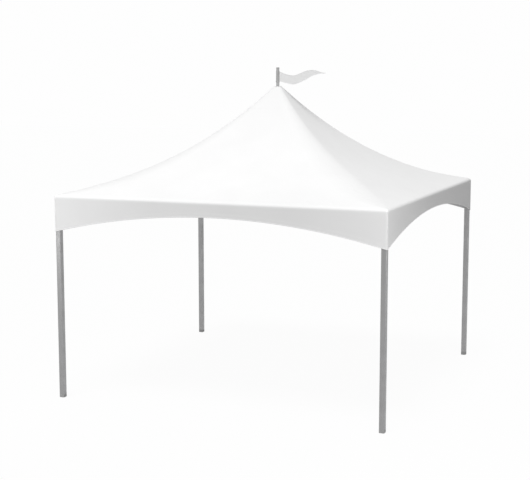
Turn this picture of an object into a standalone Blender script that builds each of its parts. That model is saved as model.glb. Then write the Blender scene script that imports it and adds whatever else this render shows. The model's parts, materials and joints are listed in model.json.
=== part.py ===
# Marquee tent, 4 m by 4 m: a high-peak frame tent on four square legs.
# Four corner brackets carry four eave beams. Steel cables from the brackets hold up a short
# centre mast, which pushes the roof to a peak. A pennant turns on a pole above the peak.
# Units are metres. +Z is up, the front is towards -Y, and the origin is on the ground at the centre.

import math

import bmesh
import bpy
from mathutils import Matrix, Vector

# Gap between pieces that touch, and play of a plug or spigot in its tube
GAP = 0.0003
SPIGOT_PLAY = 0.001

# Plan and legs
HALF_WIDTH = 2.0
LEG_CENTRE = 1.960
LEG_SIZE = 0.064
LEG_WALL = 0.003
LEG_CORNER_RADIUS = 0.010
SPIGOT_CORNER_RADIUS = 0.005

# Foot caps
FOOT_HEIGHT = 0.040
FOOT_CHAMFER = 0.004
FOOT_SPIGOT_LENGTH = 0.050

# Canopy
FABRIC_THICKNESS = 0.005
ROOF_EDGE_HEIGHT = 2.398
ROOF_EDGE_SLOPE = 0.202
ROOF_RISE = 0.870
ROOF_POWER = 2.33
PEAK_REACH = 0.046
EAVE_RADIUS = 0.040
CORNER_RADIUS = 0.024
HIP_ROUNDING = 0.25
HIP_ROUNDING_POWER = 6
ROUNDEST = 0.9
ARCH_CROWN_HEIGHT = 2.221
ARCH_RADIUS = 8.19
ROOF_STEPS = 15
ROOF_SPACING_POWER = 1.5
EAVE_STEPS = 5
ARCH_STEPS = 24
SLOPE_NUDGE = 0.001

# Eave beams and corner brackets, which stand clear of the canopy's facets
CANOPY_CLEARANCE = 0.0008
BEAM_WIDTH = 0.060
BEAM_HEIGHT = 0.100
BEAM_WALL = 0.003
BEAM_EDGE_RADIUS = 0.006
BRACKET_SIZE = 0.078
BRACKET_CORNER_RADIUS = 0.0205
BRACKET_HEIGHT = 0.125
BRACKET_TOP_RADIUS = 0.032
BRACKET_TOP_DEGREES = (0, 25, 50, 75)
BRACKET_SPIGOT_LENGTH = 0.070
BOSS_RADIUS = 0.011

# Centre mast
MAST_RADIUS = 0.030
MAST_WALL = 0.003
MAST_FOOT_HEIGHT = 2.095
MAST_TOP_HEIGHT = 3.480
HUB_RADIUS = 0.045
HUB_HEIGHT = 0.060
HUB_EDGE = 0.006
HUB_BOSS_REACH = 0.075
PLUG_LENGTH = 0.060
HEAD_RADIUS = 0.100
HEAD_EDGE = 0.012
HEAD_ROWS = 4
HALVINGS = 40
FACET_SHRINK = 0.985

# Cables and turnbuckles
CABLE_RADIUS = 0.004
SWAGE_RADIUS = 0.007
SWAGE_LENGTH = 0.060
ROD_RADIUS = 0.006
ROD_LENGTH = 0.045
TURNBUCKLE_RADIUS = 0.013
TURNBUCKLE_LENGTH = 0.170
TURNBUCKLE_EDGE = 0.006
CORNER_LUG_REACH = 0.070
CORNER_LUG_HEIGHT = 2.350

# Pole and pennant
COLLAR_RADIUS = 0.044
COLLAR_HEIGHT = 0.006
COLLAR_EDGE = 0.002
POLE_RADIUS = 0.019
POLE_WALL = 0.003
POLE_TOP_HEIGHT = 3.855
CAP_HEIGHT = 0.010
CAP_CHAMFER = 0.004
TUBE_EDGE = 0.0005
SLEEVE_BOTTOM_HEIGHT = 3.697
SLEEVE_TOP_HEIGHT = 3.817
SLEEVE_PLAY = 0.0006
SLEEVE_WALL = 0.0024
STOP_RING_HEIGHT = 0.010
STOP_RING_RADIUS = 0.024
STOP_RING_EDGE = 0.002
PENNANT_LENGTH = 0.620
PENNANT_THICKNESS = 0.003
PENNANT_RIPPLE = 0.016
PENNANT_WAVES = 1.2
PENNANT_STEPS = 20
# The pennant's outline, as (share of its length, middle above the sleeve's middle, width)
PENNANT_OUTLINE = [
    (0.00, 0.000, 0.118),
    (0.15, -0.030, 0.108),
    (0.32, -0.043, 0.109),
    (0.46, -0.016, 0.109),
    (0.58, 0.013, 0.106),
    (0.70, 0.038, 0.076),
    (0.80, 0.046, 0.050),
    (0.88, 0.043, 0.022),
    (1.00, 0.038, 0.004),
]

ROUND_SEGMENTS = 24
SMALL_SEGMENTS = 12
CORNER_SEGMENTS = 3

SIDES = {"front": -90, "right": 0, "back": 90, "left": 180}
SIDE_ENDS = {
    "front": ("left", "right"),
    "right": ("front", "back"),
    "back": ("right", "left"),
    "left": ("back", "front"),
}
CORNERS = {
    "front_left": (-1, -1),
    "front_right": (1, -1),
    "back_right": (1, 1),
    "back_left": (-1, 1),
}

# Material colours, roughness and metallic values
COLOURS = {
    "membrane": ((0.90, 0.90, 0.90, 1), 0.55, 0.0),
    "aluminium": ((0.42, 0.42, 0.43, 1), 0.45, 1.0),
    "cast_metal": ((0.36, 0.36, 0.37, 1), 0.55, 1.0),
    "steel_cable": ((0.50, 0.50, 0.52, 1), 0.35, 1.0),
    "zinc_steel": ((0.45, 0.46, 0.48, 1), 0.40, 1.0),
    "foot_plastic": ((0.20, 0.20, 0.21, 1), 0.60, 0.0),
    "white_plastic": ((0.80, 0.80, 0.80, 1), 0.50, 0.0),
    "pennant_cloth": ((0.72, 0.72, 0.72, 1), 0.60, 0.0),
    "sleeve_webbing": ((0.36, 0.36, 0.37, 1), 0.75, 0.0),
}


def clear_scene():
    for thing in list(bpy.data.objects):
        bpy.data.objects.remove(thing, do_unlink=True)


def make_material(name):
    colour, roughness, metallic = COLOURS[name]
    material = bpy.data.materials.new(name)
    material.use_nodes = True
    shader = material.node_tree.nodes["Principled BSDF"]
    shader.inputs["Base Color"].default_value = colour
    shader.inputs["Roughness"].default_value = roughness
    shader.inputs["Metallic"].default_value = metallic
    return material


def add_object(name, points, faces, material_name, smooth_angle=None):
    mesh = bpy.data.meshes.new(name)
    mesh.from_pydata([tuple(point) for point in points], [], faces)
    working = bmesh.new()
    working.from_mesh(mesh)
    bmesh.ops.recalc_face_normals(working, faces=working.faces)
    working.to_mesh(mesh)
    working.free()
    if smooth_angle is not None:
        mesh.shade_smooth()
        mesh.set_sharp_from_angle(angle=math.radians(smooth_angle))
    thing = bpy.data.objects.new(name, mesh)
    bpy.context.collection.objects.link(thing)
    mesh.materials.append(make_material(material_name))
    return thing


def loft(rings, closed=False):
    """Joins rings of equal length. An open loft gets end caps, a closed one joins its ends."""
    count = len(rings[0])
    points = [point for ring in rings for point in ring]
    faces = []
    spans = len(rings) if closed else len(rings) - 1
    for level in range(spans):
        low = level * count
        high = ((level + 1) % len(rings)) * count
        for index in range(count):
            after = (index + 1) % count
            faces.append((low + index, low + after, high + after, high + index))
    if not closed:
        last = (len(rings) - 1) * count
        faces.append(tuple(reversed(range(count))))
        faces.append(tuple(range(last, last + count)))
    return points, faces


def unite(target, *others):
    """Joins the other solids to the target, which keeps its name and material."""
    for other in others:
        joining = target.modifiers.new("join", 'BOOLEAN')
        joining.operation = 'UNION'
        joining.object = other
    graph = bpy.context.evaluated_depsgraph_get()
    joined = bpy.data.meshes.new_from_object(target.evaluated_get(graph))
    target.modifiers.clear()
    target.data = joined
    for other in others:
        bpy.data.objects.remove(other, do_unlink=True)


def rounded_rectangle(width, depth, radii):
    """Outline, counter-clockwise, with one radius for each corner from +x+y round to +x-y."""
    signs = [(1, 1), (-1, 1), (-1, -1), (1, -1)]
    outline = []
    for corner, (sx, sy) in enumerate(signs):
        radius = radii[corner]
        centre = Vector((sx * (width / 2 - radius), sy * (depth / 2 - radius)))
        for step in range(CORNER_SEGMENTS + 1):
            angle = math.pi / 2 * (corner + step / CORNER_SEGMENTS)
            outline.append(centre + radius * Vector((math.cos(angle), math.sin(angle))))
    return outline


def square_ring(size, radius, centre, height):
    outline = rounded_rectangle(size, size, [radius] * 4)
    return [(centre[0] + p.x, centre[1] + p.y, height) for p in outline]


def turned(name, profile, material_name, segments, start=(0, 0, 0), towards=(0, 0, 1)):
    """A solid of revolution. The profile holds (radius, distance along the axis) pairs."""
    turn = Vector((0, 0, 1)).rotation_difference(Vector(towards)).to_matrix().to_4x4()
    place = Matrix.Translation(Vector(start)) @ turn
    points = []
    faces = []
    rows = []
    for radius, along in profile:
        if radius == 0:
            points.append(place @ Vector((0, 0, along)))
            rows.append([len(points) - 1])
            continue
        row = []
        for index in range(segments):
            angle = 2 * math.pi * index / segments
            points.append(place @ Vector((radius * math.cos(angle), radius * math.sin(angle), along)))
            row.append(len(points) - 1)
        rows.append(row)
    for first, second in zip(rows, rows[1:]):
        for index in range(segments):
            after = (index + 1) % segments
            if len(first) == 1:
                faces.append((first[0], second[index], second[after]))
            elif len(second) == 1:
                faces.append((first[index], second[0], first[after]))
            else:
                faces.append((first[index], second[index], second[after], first[after]))
    return add_object(name, points, faces, material_name, 40)


def turned_ring(name, outer, inner, low, high, edge, material_name, segments):
    """A ring about the centre line, with its outer edges broken."""
    section = [
        (inner, low),
        (outer - edge, low),
        (outer, low + edge),
        (outer, high - edge),
        (outer - edge, high),
        (inner, high),
    ]
    rings = []
    for index in range(segments):
        angle = 2 * math.pi * index / segments
        rings.append([(r * math.cos(angle), r * math.sin(angle), z) for r, z in section])
    points, faces = loft(rings, closed=True)
    return add_object(name, points, faces, material_name, 40)


def tube_along_z(name, outer, inner, low, high, material_name):
    return turned_ring(name, outer, inner, low, high, TUBE_EDGE, material_name, ROUND_SEGMENTS)


def level_line_radius(reach):
    """Corner radius of the canopy's level line: round at the peak, nearly square at the eave."""
    share = min(reach / (HALF_WIDTH - EAVE_RADIUS), 1)
    radius = CORNER_RADIUS + HIP_ROUNDING * reach * (1 - share ** HIP_ROUNDING_POWER)
    return min(radius, ROUNDEST * reach)


def hip_height(reach):
    """Height of a hip, which hangs in a hollow curve, where reach is its distance out along x."""
    inward = HALF_WIDTH - reach
    hollow = (inward / HALF_WIDTH) ** ROOF_POWER
    return ROOF_EDGE_HEIGHT + ROOF_EDGE_SLOPE * inward + ROOF_RISE * hollow


def roof_height(reach):
    """Height of the level line that lies at a reach from the centre in the middle of each side."""
    cut_corner = 1 - math.sqrt(0.5)
    return hip_height(reach - level_line_radius(reach) * cut_corner)


def roof_fall(reach):
    """How steeply the roof falls in the middle of a side, just inside a reach."""
    return (roof_height(reach - SLOPE_NUDGE) - roof_height(reach)) / SLOPE_NUDGE


# The eave turns over a quarter circle, whose centre lies here, and meets the roof curve smoothly
EAVE_REACH = HALF_WIDTH - EAVE_RADIUS
EAVE_FALL = roof_fall(EAVE_REACH)
EAVE_HEIGHT = roof_height(EAVE_REACH) - EAVE_RADIUS * math.hypot(1, EAVE_FALL)

BEAM_TOP_HEIGHT = EAVE_HEIGHT + EAVE_RADIUS - FABRIC_THICKNESS - CANOPY_CLEARANCE
BEAM_FACE = HALF_WIDTH - FABRIC_THICKNESS - CANOPY_CLEARANCE
BRACKET_CENTRE = BEAM_FACE - BRACKET_SIZE / 2
BRACKET_INSIDE = BEAM_FACE - BRACKET_SIZE
BRACKET_BOTTOM_HEIGHT = BEAM_TOP_HEIGHT - BRACKET_HEIGHT


def roof_rows():
    """Level lines from the peak down over the eave, as (reach, corner radius, height)."""
    rows = []
    for step in range(ROOF_STEPS):
        share = (step / ROOF_STEPS) ** ROOF_SPACING_POWER
        reach = PEAK_REACH + (EAVE_REACH - PEAK_REACH) * share
        rows.append((reach, level_line_radius(reach), roof_height(reach)))
    first_angle = math.pi / 2 - math.atan(EAVE_FALL)
    for step in range(EAVE_STEPS + 1):
        angle = first_angle * (1 - step / EAVE_STEPS)
        reach = EAVE_REACH + EAVE_RADIUS * math.cos(angle)
        rows.append((reach, CORNER_RADIUS, EAVE_HEIGHT + EAVE_RADIUS * math.sin(angle)))
    return rows


def side_line(reach, radius, straight_steps):
    """Places and outward directions along the right side's level line, from hip to hip."""
    middle = reach - radius
    line = []
    for end in (-1, 1):
        if end == 1:
            for step in range(1, straight_steps):
                across = middle * (2 * step / straight_steps - 1)
                line.append((Vector((reach, across)), Vector((1, 0))))
        for step in range(CORNER_SEGMENTS + 1):
            turned_by = step if end == 1 else CORNER_SEGMENTS - step
            angle = end * math.pi / 4 * turned_by / CORNER_SEGMENTS
            outward = Vector((math.cos(angle), math.sin(angle)))
            line.append((Vector((middle, end * middle)) + radius * outward, outward))
    return line


def arch_height(across):
    """Height of a valance's lower edge, a wide arc with its crown at mid side."""
    return ARCH_CROWN_HEIGHT - ARCH_RADIUS + math.sqrt(ARCH_RADIUS ** 2 - across ** 2)


def turn_to_side(point, degrees):
    """Turns a point of the right side, with x outwards, to the side at the angle given."""
    return Matrix.Rotation(math.radians(degrees), 4, 'Z') @ Vector(point)


def sheet_between(outer, inner):
    """A closed sheet between two grids of points of the same size."""
    rows = len(outer)
    columns = len(outer[0])
    points = [point for grid in (outer, inner) for row in grid for point in row]

    def at(layer, row, column):
        return (layer * rows + row) * columns + column

    faces = []
    for layer in (0, 1):
        for row in range(rows - 1):
            for column in range(columns - 1):
                faces.append((at(layer, row, column), at(layer, row, column + 1),
                              at(layer, row + 1, column + 1), at(layer, row + 1, column)))
    for row in (0, rows - 1):
        for column in range(columns - 1):
            faces.append((at(0, row, column), at(0, row, column + 1),
                          at(1, row, column + 1), at(1, row, column)))
    for column in (0, columns - 1):
        for row in range(rows - 1):
            faces.append((at(0, row, column), at(0, row + 1, column),
                          at(1, row + 1, column), at(1, row, column)))
    return points, faces


def make_roof_panel(side, degrees):
    """One gore of the roof, from hip to hip and from the peak down over the eave."""
    rows = roof_rows()
    grid = []
    for reach, radius, height in rows:
        line = side_line(reach, radius, 1)
        grid.append([(Vector((place.x, place.y, height)), outward) for place, outward in line])
    last = len(grid) - 1
    outer = []
    inner = []
    for index, line in enumerate(grid):
        outer_row = []
        inner_row = []
        for column, (place, outward) in enumerate(line):
            along = Vector((-outward.y, outward.x, 0))
            downward = grid[min(index + 1, last)][column][0] - grid[max(index - 1, 0)][column][0]
            if index == last:
                downward = Vector((0, 0, -1))
            normal = -along.cross(downward).normalized()
            clear = {0: GAP, len(line) - 1: -GAP}.get(column, 0)
            for row, point in ((outer_row, place), (inner_row, place - FABRIC_THICKNESS * normal)):
                row.append(turn_to_side((point.x, point.y + clear, point.z), degrees))
        outer.append(outer_row)
        inner.append(inner_row)
    points, faces = sheet_between(outer, inner)
    add_object("roof_panel_" + side, points, faces, "membrane", 30)


def make_valance_half(name, line, degrees):
    """Half of a hanging strip below the eave, along a line from a hip to mid side or back."""
    top = EAVE_HEIGHT - GAP
    grids = []
    for depth in (0, FABRIC_THICKNESS):
        upper = []
        lower = []
        for column, (place, outward) in enumerate(line):
            point = place - depth * outward
            across = point.y + {0: GAP, len(line) - 1: -GAP}.get(column, 0)
            upper.append(turn_to_side((point.x, across, top), degrees))
            lower.append(turn_to_side((point.x, across, arch_height(place.y)), degrees))
        grids.append([upper, lower])
    points, faces = sheet_between(grids[0], grids[1])
    add_object(name, points, faces, "membrane", 30)


def make_valance(side, degrees):
    """Both halves of a side's valance, round at the corners, with one arched lower edge."""
    line = side_line(HALF_WIDTH, CORNER_RADIUS, ARCH_STEPS)
    middle = len(line) // 2
    halves = (line[:middle + 1], line[middle:])
    for end, half in zip(SIDE_ENDS[side], halves):
        make_valance_half("valance_" + side + "_" + end, half, degrees)


def make_leg(corner, signs):
    centre = (signs[0] * LEG_CENTRE, signs[1] * LEG_CENTRE)
    bore = LEG_SIZE - 2 * LEG_WALL
    bore_radius = LEG_CORNER_RADIUS - LEG_WALL
    low = FOOT_HEIGHT + GAP
    high = BRACKET_BOTTOM_HEIGHT - GAP
    rings = [
        square_ring(LEG_SIZE, LEG_CORNER_RADIUS, centre, low),
        square_ring(LEG_SIZE, LEG_CORNER_RADIUS, centre, high),
        square_ring(bore, bore_radius, centre, high),
        square_ring(bore, bore_radius, centre, low),
    ]
    points, faces = loft(rings, closed=True)
    add_object("leg_" + corner, points, faces, "aluminium", 30)


def make_foot_cap(corner, signs):
    centre = (signs[0] * LEG_CENTRE, signs[1] * LEG_CENTRE)
    spigot = LEG_SIZE - 2 * LEG_WALL - 2 * SPIGOT_PLAY
    spigot_top = FOOT_HEIGHT + FOOT_SPIGOT_LENGTH
    small = LEG_SIZE - 2 * FOOT_CHAMFER
    small_radius = LEG_CORNER_RADIUS - FOOT_CHAMFER
    rings = [
        square_ring(small, small_radius, centre, 0),
        square_ring(LEG_SIZE, LEG_CORNER_RADIUS, centre, FOOT_CHAMFER),
        square_ring(LEG_SIZE, LEG_CORNER_RADIUS, centre, FOOT_HEIGHT),
        square_ring(spigot, SPIGOT_CORNER_RADIUS, centre, FOOT_HEIGHT),
        square_ring(spigot, SPIGOT_CORNER_RADIUS, centre, spigot_top),
    ]
    points, faces = loft(rings)
    add_object("foot_cap_" + corner, points, faces, "foot_plastic", 30)


def corner_lug_end(signs):
    """End of the bracket's boss, where the turnbuckle starts."""
    reach = LEG_CENTRE - LEG_SIZE / 2 - CORNER_LUG_REACH / math.sqrt(2)
    return Vector((signs[0] * reach, signs[1] * reach, CORNER_LUG_HEIGHT))


def hub_boss_end(signs):
    """End of the hub's boss, where the cable ends."""
    reach = HUB_BOSS_REACH / math.sqrt(2)
    return Vector((signs[0] * reach, signs[1] * reach, MAST_FOOT_HEIGHT - HUB_HEIGHT / 2))


def cable_direction(signs):
    """Direction of the cable, from its corner towards the hub."""
    return (hub_boss_end(signs) - corner_lug_end(signs)).normalized()


def make_block(signs, reach_x, reach_y, heights):
    """A plain block in one quarter of the plan."""
    rings = []
    for height in heights:
        rings.append([(signs[0] * reach_x[i], signs[1] * reach_y[j], height)
                      for i, j in ((0, 0), (1, 0), (1, 1), (0, 1))])
    points, faces = loft(rings)
    return add_object("block", points, faces, "cast_metal")


def make_corner_bracket(corner, signs):
    """A cast block on the leg, with spigots into the leg and both beams and a boss for the cable."""
    centre = (signs[0] * BRACKET_CENTRE, signs[1] * BRACKET_CENTRE)
    rings = [square_ring(BRACKET_SIZE, BRACKET_CORNER_RADIUS, centre, BRACKET_BOTTOM_HEIGHT)]
    for degrees in BRACKET_TOP_DEGREES:
        angle = math.radians(degrees)
        inset = BRACKET_TOP_RADIUS * (1 - math.cos(angle))
        middle = BRACKET_CENTRE - inset / 2
        rings.append(square_ring(BRACKET_SIZE - inset, BRACKET_CORNER_RADIUS,
                                 (signs[0] * middle, signs[1] * middle),
                                 EAVE_HEIGHT + BRACKET_TOP_RADIUS * math.sin(angle)))
    points, faces = loft(rings)
    bracket = add_object("corner_bracket_" + corner, points, faces, "cast_metal", 30)

    leg_centre = (signs[0] * LEG_CENTRE, signs[1] * LEG_CENTRE)
    spigot = LEG_SIZE - 2 * LEG_WALL - 2 * SPIGOT_PLAY
    heights = (BRACKET_BOTTOM_HEIGHT - BRACKET_SPIGOT_LENGTH, BRACKET_BOTTOM_HEIGHT + BRACKET_SIZE / 2)
    points, faces = loft([square_ring(spigot, SPIGOT_CORNER_RADIUS, leg_centre, z) for z in heights])
    leg_spigot = add_object("leg_spigot", points, faces, "cast_metal")

    # The beams' spigots, one along each side
    beam_middle = BEAM_FACE - BEAM_WIDTH / 2
    half = BEAM_WIDTH / 2 - BEAM_WALL - SPIGOT_PLAY
    low = BEAM_TOP_HEIGHT - BEAM_HEIGHT + BEAM_WALL + SPIGOT_PLAY
    high = EAVE_HEIGHT - SPIGOT_PLAY
    along = (BRACKET_INSIDE - BRACKET_SPIGOT_LENGTH, BRACKET_CENTRE)
    across = (beam_middle - half, beam_middle + half)
    along_x = make_block(signs, along, across, (low, high))
    along_y = make_block(signs, across, along, (low, high))

    # The boss that the turnbuckle pulls on
    end = corner_lug_end(signs)
    out = -cable_direction(signs)
    length = CORNER_LUG_REACH + BRACKET_SIZE / 2
    boss = turned("boss", [(0, 0), (BOSS_RADIUS, 0), (BOSS_RADIUS, length), (0, length)],
                  "cast_metal", SMALL_SEGMENTS, end, out)
    unite(bracket, leg_spigot, along_x, along_y, boss)


def make_eave_beam(side, degrees):
    """A rectangular tube between two brackets, round where the canopy turns over it."""
    length = BRACKET_INSIDE - GAP
    middle = BEAM_FACE - BEAM_WIDTH / 2
    height = BEAM_TOP_HEIGHT - BEAM_HEIGHT / 2
    outer_radius = EAVE_RADIUS - FABRIC_THICKNESS - GAP
    outer_radii = [outer_radius, BEAM_EDGE_RADIUS, BEAM_EDGE_RADIUS, BEAM_EDGE_RADIUS]
    inner_radii = [radius - BEAM_WALL for radius in outer_radii]
    outer = rounded_rectangle(BEAM_WIDTH, BEAM_HEIGHT, outer_radii)
    inner = rounded_rectangle(BEAM_WIDTH - 2 * BEAM_WALL, BEAM_HEIGHT - 2 * BEAM_WALL, inner_radii)

    def ring(outline, across):
        return [turn_to_side((middle + p.x, across, height + p.y), degrees) for p in outline]

    rings = [ring(outer, -length), ring(outer, length), ring(inner, length), ring(inner, -length)]
    points, faces = loft(rings, closed=True)
    add_object("eave_beam_" + side, points, faces, "aluminium", 30)


def make_cable_run(corner, signs):
    """A turnbuckle at the corner, and a cable with swaged ends from it to the hub."""
    along = cable_direction(signs)
    start = corner_lug_end(signs) + GAP * along
    total = (hub_boss_end(signs) - corner_lug_end(signs)).length - 2 * GAP
    body_end = ROD_LENGTH + TURNBUCKLE_LENGTH
    end = body_end + ROD_LENGTH
    profile = [
        (0, 0),
        (ROD_RADIUS, 0),
        (ROD_RADIUS, ROD_LENGTH),
        (TURNBUCKLE_RADIUS - TURNBUCKLE_EDGE, ROD_LENGTH),
        (TURNBUCKLE_RADIUS, ROD_LENGTH + TURNBUCKLE_EDGE),
        (TURNBUCKLE_RADIUS, body_end - TURNBUCKLE_EDGE),
        (TURNBUCKLE_RADIUS - TURNBUCKLE_EDGE, body_end),
        (ROD_RADIUS, body_end),
        (ROD_RADIUS, end),
        (0, end),
    ]
    turned("turnbuckle_" + corner, profile, "zinc_steel", SMALL_SEGMENTS, start, along)
    cable_start = end + GAP
    profile = [
        (0, cable_start),
        (SWAGE_RADIUS, cable_start),
        (SWAGE_RADIUS, cable_start + SWAGE_LENGTH),
        (CABLE_RADIUS, cable_start + SWAGE_LENGTH),
        (CABLE_RADIUS, total - SWAGE_LENGTH),
        (SWAGE_RADIUS, total - SWAGE_LENGTH),
        (SWAGE_RADIUS, total),
        (0, total),
    ]
    turned("cable_" + corner, profile, "steel_cable", SMALL_SEGMENTS, start, along)


def make_mast_foot():
    """The hub that hangs in the four cables, with a plug inside the mast."""
    low = MAST_FOOT_HEIGHT - HUB_HEIGHT
    plug = MAST_RADIUS - MAST_WALL - SPIGOT_PLAY
    profile = [
        (0, low),
        (HUB_RADIUS - HUB_EDGE, low),
        (HUB_RADIUS, low + HUB_EDGE),
        (HUB_RADIUS, MAST_FOOT_HEIGHT - HUB_EDGE),
        (HUB_RADIUS - HUB_EDGE, MAST_FOOT_HEIGHT),
        (plug, MAST_FOOT_HEIGHT),
        (plug, MAST_FOOT_HEIGHT + PLUG_LENGTH),
        (0, MAST_FOOT_HEIGHT + PLUG_LENGTH),
    ]
    hub = turned("mast_foot_hub", profile, "cast_metal", ROUND_SEGMENTS)
    bosses = []
    length = HUB_BOSS_REACH - HUB_EDGE
    shape = [(0, 0), (BOSS_RADIUS, 0), (BOSS_RADIUS, length), (0, length)]
    for signs in CORNERS.values():
        bosses.append(turned("boss", shape, "cast_metal", SMALL_SEGMENTS,
                             hub_boss_end(signs), cable_direction(signs)))
    unite(hub, *bosses)


def make_mast():
    tube_along_z("centre_mast", MAST_RADIUS, MAST_RADIUS - MAST_WALL,
                 MAST_FOOT_HEIGHT + GAP, MAST_TOP_HEIGHT - GAP, "aluminium")


def head_radius_at(height):
    """Radius of the mast head that just fits inside the roof panels at a height."""
    low = PEAK_REACH
    high = EAVE_REACH
    for _ in range(HALVINGS):
        middle = (low + high) / 2
        if roof_height(middle) > height:
            low = middle
        else:
            high = middle
    fall = roof_fall(low)
    return low * FACET_SHRINK - (FABRIC_THICKNESS + GAP) * math.hypot(1, fall) / fall


def make_mast_head():
    """A turned cone that carries the peak of the roof, with plugs for the mast and the pole."""
    top = roof_height(PEAK_REACH) - FABRIC_THICKNESS
    rim_height = MAST_TOP_HEIGHT + HEAD_EDGE
    while head_radius_at(rim_height) > HEAD_RADIUS:
        rim_height += HEAD_EDGE
    mast_plug = MAST_RADIUS - MAST_WALL - SPIGOT_PLAY
    pole_plug = POLE_RADIUS - POLE_WALL - SPIGOT_PLAY
    profile = [
        (0, MAST_TOP_HEIGHT - PLUG_LENGTH),
        (mast_plug, MAST_TOP_HEIGHT - PLUG_LENGTH),
        (mast_plug, MAST_TOP_HEIGHT),
        (MAST_RADIUS + HEAD_EDGE, MAST_TOP_HEIGHT),
        (head_radius_at(rim_height) - HEAD_EDGE / 2, rim_height - HEAD_EDGE),
    ]
    for row in range(HEAD_ROWS + 1):
        height = rim_height + (top - rim_height) * row / HEAD_ROWS
        profile.append((head_radius_at(height), height))
    profile += [
        (pole_plug, top),
        (pole_plug, top + PLUG_LENGTH),
        (0, top + PLUG_LENGTH),
    ]
    turned("mast_head", profile, "cast_metal", ROUND_SEGMENTS)
    return top


def make_pole(head_top):
    """The pole above the peak, its collar over the canopy's opening, and its top cap."""
    tube_along_z("flag_pole", POLE_RADIUS, POLE_RADIUS - POLE_WALL,
                 head_top + GAP, POLE_TOP_HEIGHT - GAP, "aluminium")
    collar_low = roof_height(PEAK_REACH) + GAP
    turned_ring("peak_collar", COLLAR_RADIUS, POLE_RADIUS + GAP, collar_low, collar_low + COLLAR_HEIGHT,
                COLLAR_EDGE, "white_plastic", ROUND_SEGMENTS)
    plug = POLE_RADIUS - POLE_WALL - SPIGOT_PLAY
    profile = [
        (0, POLE_TOP_HEIGHT - PLUG_LENGTH / 2),
        (plug, POLE_TOP_HEIGHT - PLUG_LENGTH / 2),
        (plug, POLE_TOP_HEIGHT),
        (POLE_RADIUS, POLE_TOP_HEIGHT),
        (POLE_RADIUS, POLE_TOP_HEIGHT + CAP_HEIGHT - CAP_CHAMFER),
        (POLE_RADIUS - CAP_CHAMFER, POLE_TOP_HEIGHT + CAP_HEIGHT),
        (0, POLE_TOP_HEIGHT + CAP_HEIGHT),
    ]
    turned("pole_cap", profile, "cast_metal", ROUND_SEGMENTS)
    ring_top = SLEEVE_BOTTOM_HEIGHT - SLEEVE_PLAY
    turned_ring("pennant_stop_ring", STOP_RING_RADIUS, POLE_RADIUS + GAP, ring_top - STOP_RING_HEIGHT,
                ring_top, STOP_RING_EDGE, "zinc_steel", ROUND_SEGMENTS)


def smooth_through(rows, share):
    """Middle and width at a share of the length, on a smooth curve through the outline's rows."""
    last = len(rows) - 1
    index = max(i for i in range(last) if rows[i][0] <= share)
    before = rows[max(index - 1, 0)]
    start = rows[index]
    end = rows[index + 1]
    after = rows[min(index + 2, last)]
    span = end[0] - start[0]
    t = (share - start[0]) / span
    values = []
    for item in (1, 2):
        start_slope = (end[item] - before[item]) / (end[0] - before[0]) * span
        end_slope = (after[item] - start[item]) / (after[0] - start[0]) * span
        rise = end[item] - start[item]
        values.append(start[item] + t * start_slope + t * t * (3 * rise - 2 * start_slope - end_slope)
                      + t ** 3 * (start_slope + end_slope - 2 * rise))
    return values


def pennant_line(share):
    """Height, sideways ripple and width of the pennant at a share of its length."""
    middle, width = smooth_through(PENNANT_OUTLINE, share)
    ripple = PENNANT_RIPPLE * math.sin(PENNANT_WAVES * 2 * math.pi * share) * share
    return (SLEEVE_BOTTOM_HEIGHT + SLEEVE_TOP_HEIGHT) / 2 + middle, ripple, width


def make_pennant():
    """The loose sleeve on the pole and the tapering pennant that it carries."""
    outer = POLE_RADIUS + SLEEVE_PLAY + SLEEVE_WALL
    tube_along_z("pennant_sleeve", outer, POLE_RADIUS + SLEEVE_PLAY,
                 SLEEVE_BOTTOM_HEIGHT, SLEEVE_TOP_HEIGHT, "sleeve_webbing")
    start = outer + GAP
    rings = []
    for step in range(PENNANT_STEPS + 1):
        share = step / PENNANT_STEPS
        height, ripple, width = pennant_line(share)
        x = start + (PENNANT_LENGTH - start) * share
        side = PENNANT_THICKNESS / 2
        rings.append([
            (x, ripple - side, height - width / 2),
            (x, ripple + side, height - width / 2),
            (x, ripple + side, height + width / 2),
            (x, ripple - side, height + width / 2),
        ])
    points, faces = loft(rings)
    add_object("pennant", points, faces, "pennant_cloth", 30)


def build():
    clear_scene()
    for corner, signs in CORNERS.items():
        make_foot_cap(corner, signs)
        make_leg(corner, signs)
        make_corner_bracket(corner, signs)
        make_cable_run(corner, signs)
    for side, degrees in SIDES.items():
        make_eave_beam(side, degrees)
        make_roof_panel(side, degrees)
        make_valance(side, degrees)
    make_mast_foot()
    make_mast()
    head_top = make_mast_head()
    make_pole(head_top)
    make_pennant()


build()
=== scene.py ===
# Looks of the marquee tent: a white coated membrane stretched over an aluminium frame,
# with wire rope stays under the peak and a cloth pennant above it.
# Units are metres, in the frame's own axes: +Z up, front towards -Y, origin on the ground.

import json
import math

import bmesh
import bpy
from mathutils import Matrix, Vector


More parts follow.
